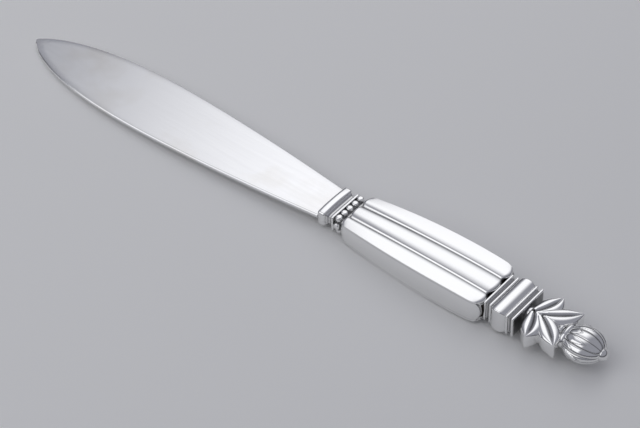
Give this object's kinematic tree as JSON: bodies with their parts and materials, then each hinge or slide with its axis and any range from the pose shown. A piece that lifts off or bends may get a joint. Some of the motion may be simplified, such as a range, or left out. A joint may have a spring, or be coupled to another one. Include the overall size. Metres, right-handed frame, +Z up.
{
  "type": "letter opener",
  "caption": "Letter opener with a flat leaf-shaped blade, a beaded ferrule, a reeded hollow handle, a moulded neck and a bud-and-leaf finial, all in silver.",
  "frame": {"origin": "middle of the bounding box in X and Y, at the lowest point of the grip in Z", "axes": "+X along the opener towards the blade's tip, +Z up, square to the blade's flat"},
  "size_m": [0.225, 0.0239, 0.0097],
  "materials": {
    "satin_silver": "silver blade, satin-brushed on the flats and brighter along its edges",
    "polished_silver": "polished silver, darkened in the recesses",
    "setting_cement": "matte setting cement, sealed in the handle"
  },
  "bodies": {
    "root": {"blade": "satin_silver", "front_ferrule": "polished_silver", "bead_collar": "polished_silver", "grip_shell_upper": "polished_silver", "grip_shell_lower": "polished_silver", "neck_collar": "polished_silver", "finial_stem": "polished_silver", "bud_ring": "polished_silver", "bud": "polished_silver", "bud_button": "polished_silver", "leaf_lower_left": "polished_silver", "leaf_lower_right": "polished_silver", "leaf_upper_left": "polished_silver", "leaf_upper_right": "polished_silver", "grip_filler": "setting_cement"}
  },
  "joints": []
}
